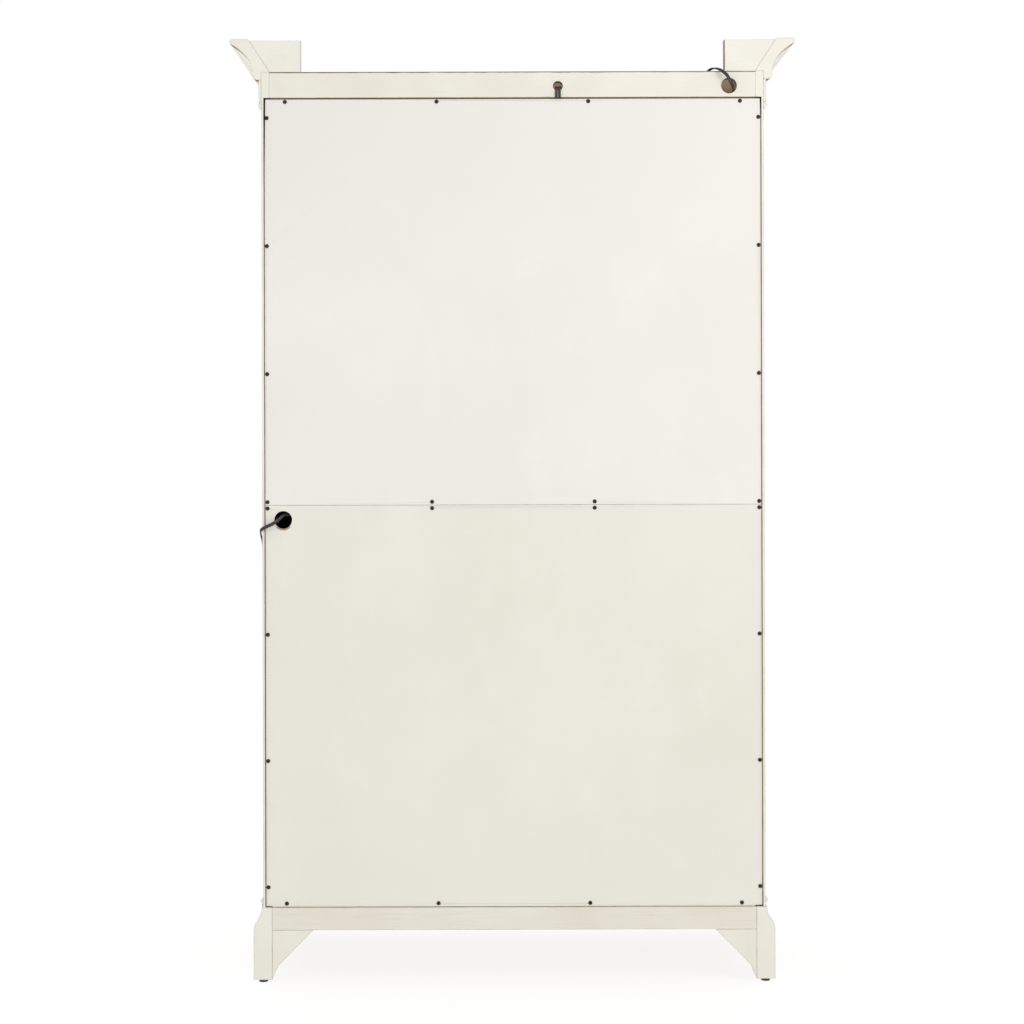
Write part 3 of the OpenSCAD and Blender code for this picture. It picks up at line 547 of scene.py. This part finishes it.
def panel_finish(name, tone, shade, hole_mid=None, hole_r=0.0):
    """Paint on a panel, worn at its edges, darkened towards the top with painted shade, and torn below its
    hole.
    """
    finish = Finish(name)
    clouds = finish.noise(1.7, 5)
    wiped = finish.ramp(finish.noise(9, 6, (1.0, 1.0, 0.6), (4.0, 0, 2.0)), 0.50, 0.74)
    blotches = finish.ramp(finish.noise(26, 5, (1.0, 1.0, 1.0), (0, 0, 7.0)), 0.62, 0.70)
    colour = finish.mix(finish.ramp(clouds, 0.3, 0.7), shade, tone)
    colour = finish.mix(wiped * 0.30, colour, shaded(tone, 1.05))
    colour = finish.mix(blotches * wiped * 0.35, colour, shaded(tone, 0.955))
    # Painted shade: the paint is made darker from 1.5 m up to 2 m.
    painted_top_shade = finish.ramp(finish.parts(finish.place())[2], 1.50, 2.00)
    colour = finish.mix(painted_top_shade * 0.85, colour, shaded(tone, 0.935))
    edge = worn_edge(finish, 0.003)
    bare = finish.ramp(edge * 2.0 + (finish.noise(30, 5) - 0.5) * 1.3, 0.52, 0.80)
    sawn = 1 - finish.maths("ABSOLUTE", finish.parts(finish.normal())[1])
    colour = finish.mix(finish.maths("MAXIMUM", bare, finish.ramp(sawn, 0.4, 0.8)), colour, rubbed)
    if hole_mid:
        spot = finish.vector("SUBTRACT", finish.place(), hole_mid)
        flat = finish.vector("MULTIPLY", spot, (1.0, 0.0, 1.0))
        away = finish.vector("LENGTH", flat, (0, 0, 0), 1)
        ragged = away + (finish.noise(120, 3) - 0.5) * 0.003
        under = finish.ramp(finish.parts(spot)[2], -0.55 * hole_r, -0.95 * hole_r)
        torn = finish.ramp(ragged, hole_r + 0.0045, hole_r + 0.0030) * under
        colour = finish.mix(torn, colour, (0.36, 0.235, 0.13))
    rollers = finish.noise(190, 3)
    return finish.surface(colour, 0.46 + 0.12 * clouds + 0.2 * bare, rollers * 0.5 - bare * 0.4, 0.00025,
                          specular=0.35)


module_hole = Vector((0.521, 0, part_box("middle_deck")[0].z - 0.019))
upper_paint = panel_finish("upper_panel_paint", panel_tone, panel_shade)
lower_paint = panel_finish("lower_panel_paint", lower_tone, lower_shade, module_hole, 0.020)
dress(["back_panel_upper"], upper_paint, 0.0002)
dress(["back_panel_lower"], lower_paint, 0.0002)

# ---- Panel screws ----
# Dark round-headed screws with a cross recess, driven through the panels into the boards.
screw_finish = Finish("browned_steel")
screw_rub = screw_finish.ramp(screw_finish.noise(420, 4), 0.50, 0.72)
screw_brown = screw_finish.surface(
    screw_finish.mix(screw_rub, (0.030, 0.024, 0.018), (0.12, 0.09, 0.065)), 0.42 + 0.2 * screw_rub,
    screw_rub, 0.0001, metallic=0.6)
panel_low, panel_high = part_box("back_panel_upper")
lower_low, lower_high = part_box("back_panel_lower")
panel_face = panel_high.y
screw_x = 0.5565
seam_inset = 0.007
upper_pitch = (panel_high.z - panel_low.z - 0.049) / 3
lower_pitch = (lower_high.z - lower_low.z - 0.0515) / 3
screw_spots = []
for x in (0.515, 0.1717, -0.1717, -0.515):
    screw_spots += [(x, panel_high.z - 0.0055), (x, lower_low.z + 0.0075)]
for x in (0.184, -0.184):
    screw_spots += [(x, panel_low.z + seam_inset), (x, lower_high.z - seam_inset)]
for row in range(4):
    for x in (screw_x, -screw_x):
        screw_spots.append((x, panel_low.z + seam_inset + row * upper_pitch))
        screw_spots.append((x, lower_high.z - seam_inset - row * lower_pitch))
chance = random.Random(8)
screw_shape = bmesh.new()
head_r = 0.0047
head_points = 24
for x, z in screw_spots:
    spin = chance.uniform(0, math.pi)
    rings = []
    for ring in range(8):
        reach = head_r * (1 - (ring / 7.3) ** 1.1)
        rise = 0.0022 * math.sqrt(max(0.0, 1 - (reach / head_r) ** 2)) + 0.0003 * (ring > 0)
        circle = []
        for k in range(head_points):
            turn = 2 * math.pi * k / head_points
            u = reach * math.cos(turn)
            v = reach * math.sin(turn)
            cross = min(abs(u), abs(v)) < 0.00055 and reach < head_r * 0.58
            spot_x = x + u * math.cos(spin) - v * math.sin(spin)
            spot_z = z + u * math.sin(spin) + v * math.cos(spin)
            circle.append(screw_shape.verts.new((spot_x, panel_face + rise - 0.0012 * cross, spot_z)))
        rings.append(circle)
    for outer, inner in zip(rings, rings[1:]):
        for k in range(head_points):
            after = (k + 1) % head_points
            screw_shape.faces.new((outer[k], outer[after], inner[after], inner[k]))
    screw_shape.faces.new(rings[-1])
    screw_shape.faces.new(rings[0][::-1])
bmesh.ops.recalc_face_normals(screw_shape, faces=screw_shape.faces)
screw_mesh = bpy.data.meshes.new("screw_heads")
screw_shape.to_mesh(screw_mesh)
screw_shape.free()
screws = piece("screw_heads", screw_mesh, screw_brown, "cabinet")
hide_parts("panel_screws")

# ---- Rear rails and crown blocks ----
# Softwood rails across the top and bottom of the back, brushed with thin paint that lets
# the grain through, and two blocks that stand on the top rail's ends behind the crown.
rail_tone = (0.745, 0.722, 0.654)
light_hole = Vector((-0.490, 0, 2.026))
lead_hole = Vector((-0.103, 0, 2.026))


def near_hole(finish, centre, radius):
    """1 on the wall of a hole bored through from back to front."""
    spot = finish.vector("SUBTRACT", finish.place(), centre)
    flat = finish.vector("MULTIPLY", spot, (1.0, 0.0, 1.0))
    return finish.maths("LESS_THAN", finish.vector("LENGTH", flat, (0, 0, 0), 1), radius)


def rail_bare(finish):
    """Bare hole walls, and a line rubbed through along the rail's top edge."""
    z = finish.parts(finish.place())[2]
    ragged = z + (finish.noise(60, 4, (0.5, 1.0, 1.0)) - 0.5) * 0.003
    top_edge = finish.ramp(ragged, cad_rail_top - 0.0032, cad_rail_top - 0.0016)
    light_wall = near_hole(finish, light_hole, 0.0178)
    lead_wall = near_hole(finish, lead_hole, 0.0113)
    return finish.maths("MAXIMUM", finish.maths("MAXIMUM", light_wall, lead_wall), top_edge)


def block_bare(finish):
    """A line rubbed through along each crown block's inner edge, made stronger on the block at negative x as
    painted shade.
    """
    x, _, z = finish.parts(finish.place())
    ragged = finish.maths("ABSOLUTE", x) - (finish.noise(50, 4, (1.0, 1.0, 0.5)) - 0.5) * 0.003
    # Painted shade: the line is darker on the block at negative x, whose inner face is turned from the back
    # light.
    shade_side_weight = finish.maths("GREATER_THAN", 0.0, x) * 0.8 + 0.1
    open_top = finish.ramp(z, cad_rail_top + 0.0005, cad_rail_top + 0.002)
    return finish.ramp(ragged, block_inner + 0.0028, block_inner + 0.0012) * shade_side_weight * open_top


cad_rail_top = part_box("top_back_rail")[1].z
block_inner = 0.479
bottom_tone = (0.715, 0.682, 0.606)
bracket_tone = (0.740, 0.716, 0.640)
block_tone = (0.760, 0.740, 0.680)
top_rail_paint = painted_where("top_rail_paint", 0, rail_bare, dark_wood, tone=rail_tone, streak=1.4, rub=0.8)
bottom_rail_paint = painted("bottom_rail_paint", 0, tone=bottom_tone, streak=3.0, rub=1.2, spots=1.6)
bracket_paint = painted("bracket_paint", 2, tone=bracket_tone, streak=1.4, rub=1.25)
block_paint = painted_where("block_paint", 0, block_bare, dark_wood, tone=block_tone, streak=1.3, rub=0.8)
dress(["top_back_rail"], top_rail_paint, 0.0001)
dress(["bottom_back_rail"], bottom_rail_paint, 0.0003)
dress(["rear_brackets"], bracket_paint, 0.0004)
dress(["crown_blocks"], block_paint, 0.0001)

# ---- Mouldings and base ----
# Crown, frieze and beads are mitred round the front and sides; the inner faces that
# only the back shows are raw. The base boards have an ogee on their top edge.


def crown_inside_and_under_shade(finish):
    """1 on the crown's faces that look inwards over the roof, and on its downward faces near the rear end,
    where dark wood is painted as the shade under the cove.
    """
    outward = finish.parts(finish.vector("MULTIPLY", finish.normal(), finish.place()))
    y = finish.parts(finish.place())[1]
    inner_side = finish.maths("LESS_THAN", outward[0], -0.25)
    inner_front = finish.maths("LESS_THAN", outward[1], -0.10) * finish.maths("LESS_THAN", y, -0.1)
    # Painted shade: downward faces near the rear end are given dark wood.
    under = finish.ramp(finish.parts(finish.normal())[2], -0.25, -0.45)
    rear_edge = finish.ramp(y, 0.205, 0.235) * under
    return finish.maths("MAXIMUM", finish.maths("MAXIMUM", inner_side, inner_front), rear_edge)


dress(["crown_moulding"], painted_where("crown_paint", 1, crown_inside_and_under_shade, dark_wood), 0.0002)
dress(["case_mouldings"], painted("moulding_paint", 1, rub=1.2))
dress(["base_boards"], painted("base_paint", 1, rub=1.3, streak=1.2))

# ---- Foot glides ----
# Nailed plastic discs under the four corners, dusty from the floor.
glide_finish = Finish("glide_plastic")
glide_dust = glide_finish.ramp(glide_finish.noise(90, 5), 0.42, 0.7)
dress(["foot_glides"], glide_finish.surface(
    glide_finish.mix(glide_dust, (0.022, 0.020, 0.018), (0.10, 0.088, 0.07)), 0.55 + 0.3 * glide_dust,
    glide_dust, 0.0002))

# ---- Front frame and drawer carcase ----
# The frame is painted like the case; the boards behind it, which carry the drawers,
# are left bare.
dress(["face_frame"], painted("frame_paint", 2, rub=1.25))
dress(["drawer_carcase"], bare_wood("carcase_wood", 1))

# ---- Doors ----
# Frame-and-bar sashes, painted like the case, each with one pane held by beads.
dress(["door_sash_left", "door_sash_right"], painted("sash_paint", 2, rub=1.4))
pane_finish = Finish("drawn_glass")
pane_node = pane_finish.add("BsdfPrincipled", None, {
    "Base Color": (0.955, 0.975, 0.965, 1), "Transmission Weight": 1.0, "IOR": 1.45,
    "Roughness": 0.02 + 0.10 * pane_finish.ramp(pane_finish.noise(7, 5), 0.60, 0.85),
    "Normal": pane_finish.out(pane_finish.add("Bump", None, {
        "Height": pane_finish.noise(5, 1, (1.0, 1.0, 0.35)), "Distance": 0.0016}))})
pane_finish.add("OutputMaterial", None, {"Surface": pane_finish.out(pane_node)})
dress(["door_glass_left", "door_glass_right", "glass_shelves"], pane_finish.material, 0.0003)

# ---- Drawers ----
# Painted fronts with a scratched border line on bare, nailed boxes.
front_back_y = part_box("face_frame")[1].y


def behind_front(finish):
    return finish.maths("GREATER_THAN", finish.parts(finish.place())[1], front_back_y + 0.00005)


drawer_names = [f"{row}_{column}" for row in (1, 2, 3) for column in (1, 2, 3, 4)]
dress(["drawer_" + name for name in drawer_names],
      painted_where("drawer_paint", 0, behind_front, rub=1.4))

# ---- Knobs, card holders and hinges ----
# Turned knobs and pressed holders of dark bronzed iron, worn brighter where they are
# handled; a plain card sits in each holder.


def bronze_layers(finish):
    """Colour, roughness and height of browned iron rubbed bright at its edges."""
    edge = worn_edge(finish, 0.002)
    worn = finish.ramp(edge * 2.5 + finish.noise(70, 5) * 0.9, 0.55, 0.95)
    patina = finish.noise(160, 4)
    colour = finish.mix(patina, (0.050, 0.036, 0.024), (0.105, 0.078, 0.052))
    colour = finish.mix(worn * 0.7, colour, (0.30, 0.225, 0.15))
    return colour, 0.36 + 0.25 * patina, patina * 0.6


def bronze(name):
    finish = Finish(name)
    colour, roughness, height = bronze_layers(finish)
    return finish.surface(colour, roughness, height, 0.00015, metallic=0.85)


dress(["frame_hinge_leaves", "door_fittings_left", "door_fittings_right"], bronze("hinge_iron"), 0.0003)
pull_finish = Finish("pull_iron")
pull_back_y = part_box("drawer_pull_1_1")[1].y
bronze_colour, bronze_rough, bronze_height = bronze_layers(pull_finish)
pull_x, pull_y, pull_z = pull_finish.parts(pull_finish.place())
column_half_w = 0.13325
card_half_w = 0.0290
card_half_h = 0.0130
column_x = pull_finish.maths("PINGPONG", pull_finish.maths("ABSOLUTE", pull_x), column_half_w)
card = pull_finish.maths("LESS_THAN", column_half_w - column_x, card_half_w)
for row in (1, 2, 3):
    card_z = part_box(f"drawer_pull_{row}_1")[1].z - 0.018
    off = pull_finish.maths("ABSOLUTE", pull_z - card_z)
    near_row = pull_finish.maths("LESS_THAN", off, card_half_h)
    rows = near_row if row == 1 else pull_finish.maths("MAXIMUM", rows, near_row)
card = card * rows * pull_finish.maths("GREATER_THAN", pull_y, pull_back_y - 0.0015)
fibre = pull_finish.noise(500, 4)
foxing = pull_finish.ramp(pull_finish.noise(55, 5), 0.55, 0.8)
paper = pull_finish.mix(foxing * 0.5, (0.78, 0.70, 0.53), (0.56, 0.44, 0.27))
pull_iron = pull_finish.surface(
    pull_finish.mix(card, bronze_colour, paper), bronze_rough * (1 - card) + 0.85 * card,
    bronze_height * (1 - card) + fibre * card * 0.4, 0.00015, metallic=0.85 * (1 - card))
dress(["drawer_pull_" + name for name in drawer_names], pull_iron, 0.0003)
dress(["shelf_pins"], bronze("pin_iron"), 0.0003)

# ---- Lamps ----
# Flat puck lamps screwed under the roof, with a frosted lens, and their thin leads.
lamp_finish = Finish("lamp_shell")
lamp_from_middle = 0.270
lens_r = 0.02695
lamp_mid_y = (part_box("lamps")[1].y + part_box("lamps")[0].y) / 2
lamp_place = lamp_finish.parts(lamp_finish.place())
lamp_u = lamp_finish.maths("ABSOLUTE", lamp_place[0]) - lamp_from_middle
lamp_v = lamp_place[1] - lamp_mid_y
lamp_away = lamp_finish.maths("SQRT", lamp_u * lamp_u + lamp_v * lamp_v)
lens_mask = lamp_finish.maths("LESS_THAN", lamp_away, lens_r)
brushed = lamp_finish.noise(1.0, 3, (60.0, 60.0, 900.0))
prisms = lamp_finish.maths("PINGPONG", lamp_away, 0.0009) * 1000
shell_colour = lamp_finish.mix(brushed, (0.42, 0.40, 0.37), (0.62, 0.60, 0.56))
lens_colour = lamp_finish.mix(lamp_finish.noise(30, 3), (0.80, 0.80, 0.76), (0.90, 0.90, 0.87))
lamp_material = lamp_finish.surface(
    lamp_finish.mix(lens_mask, shell_colour, lens_colour), 0.34 + 0.22 * brushed,
    brushed * 0.3 * (1 - lens_mask) + prisms * lens_mask, 0.0004, metallic=0.9 * (1 - lens_mask))
dress(["lamps"], lamp_material, 0.0005)
lead_finish = Finish("lead_vinyl")
lead_dust = lead_finish.ramp(lead_finish.noise(60, 4), 0.45, 0.8)
dress(["lamp_leads"], lead_finish.surface(
    lead_finish.mix(lead_dust, (0.020, 0.018, 0.016), (0.07, 0.06, 0.05)), 0.40 + 0.25 * lead_dust,
    lead_dust, 0.0001), 0)

# ---- Driver and power module ----
# Moulded plastic boxes with a fine spark finish; each cord leaves through a ribbed,
# tapered sleeve.


def plastic(name, grain=900):
    finish = Finish(name)
    spark = finish.noise(grain, 3)
    dust = finish.ramp(finish.noise(24, 5), 0.45, 0.8)
    colour = finish.mix(dust * 0.6, (0.016, 0.015, 0.014), (0.060, 0.054, 0.046))
    return finish.surface(colour, 0.44 + 0.25 * dust, spark, 0.0002)


box_plastic = plastic("box_plastic")
dress(["supply_boxes"], box_plastic, 0.0015)


def sleeve(name, path, faces, length):
    """A ribbed sleeve over the first stretch of a cord, thinner towards its free end."""
    ends = [0]
    reach = 0.0
    while reach < length:
        reach += (path[ends[-1] + 1] - path[ends[-1]]).length
        ends.append(ends[-1] + 1)
    fine = spline([path[k] for k in ends], 8)
    looks = spline([faces[k] for k in ends], 8)

    def outline(along):
        rib = 0.0007 * (math.sin(along * 2 * math.pi * 5) > 0) * (along < 0.9)
        half_w = cord_w / 2 + 0.0026 * (1 - along) + 0.0006 + rib
        half_t = cord_t / 2 + 0.0030 * (1 - along) + 0.0006 + rib
        ring = []
        for k in range(outline_points):
            turn = 2 * math.pi * k / outline_points
            u = math.copysign(abs(math.cos(turn)) ** 0.7, math.cos(turn))
            v = math.copysign(abs(math.sin(turn)) ** 0.7, math.sin(turn))
            ring.append((half_w * u, half_t * v))
        return ring

    return piece(name, sweep(name, fine, looks, outline), box_plastic, "cabinet")


sleeve("driver_sleeve", light_cord_path, light_cord_looks, 0.026)
sleeve("module_sleeve", module_cord_path, module_cord_looks, 0.0205)

# ---- Cord ties and plugs ----
# A plastic band round each coil or hank, and two-pin plugs with flat blades.
tie_plastic = plastic("tie_plastic", 400)


def tie(name, middle, across, half_w, half_h):
    """A flat band looped round a bundle; across is the bundle's width direction."""
    corner = half_h * 0.7
    loop = []
    looks = []
    for quarter in range(4):
        sign_u = (1, -1, -1, 1)[quarter]
        sign_v = (1, 1, -1, -1)[quarter]
        for step in range(5):
            turn = math.pi / 2 * (quarter + step / 4)
            u = sign_u * (half_w - corner) + corner * math.cos(turn)
            v = sign_v * (half_h - corner) + corner * math.sin(turn)
            loop.append(middle + across * u + Vector((0, 0, v)))
            looks.append(across * math.cos(turn) + Vector((0, 0, math.sin(turn))))
    loop.append(loop[0] + (loop[1] - loop[0]) * 0.9)
    looks.append(looks[0])
    outline = [(-0.0024, -0.0003), (0.0024, -0.0003), (0.0024, 0.0003), (-0.0024, 0.0003)]
    band = sweep(name, loop, looks, lambda along: outline)
    return piece(name, band, tie_plastic, "cabinet")


coil_half_t = (coil_turns + 1) * cord_t / 2
ring_mid = coil_r + cord_t / 2 - coil_half_t
tie_half_h = cord_w / 2 + 0.0007
for number, angle in enumerate((0.7, 3.6)):
    spoke = Vector((math.cos(angle), math.sin(angle), 0))
    middle = Vector((coil_mid.x, coil_mid.y, coil_z)) + spoke * ring_mid
    tie(f"coil_tie_{number + 1}", middle, spoke, coil_half_t + 0.0012, tie_half_h)
tie("hank_tie", hank_home, Vector((1, 0, 0)), hank_r + 0.0008, tie_half_h)


def plug_finish(node):
    """A black shell, and brass for the blades."""
    finish = Finish(node + "_shell")
    blade = finish.maths("LESS_THAN", finish.parts(finish.place())[1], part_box(node)[0].y + 0.016)
    spark = finish.noise(800, 3)
    brass = finish.mix(finish.noise(140, 4), (0.52, 0.44, 0.27), (0.70, 0.62, 0.42))
    dust = finish.ramp(finish.noise(40, 4), 0.45, 0.8)
    shell = finish.mix(dust, (0.016, 0.015, 0.014), (0.05, 0.045, 0.04))
    colour = finish.mix(blade, shell, brass)
    return finish.surface(colour, 0.45 - 0.15 * blade + 0.15 * spark, spark, 0.0002, metallic=blade)


for node in ("light_cord_plug", "module_cord_plug"):
    dress([node], plug_finish(node), 0)
    ease(node, 0.0025, 3)
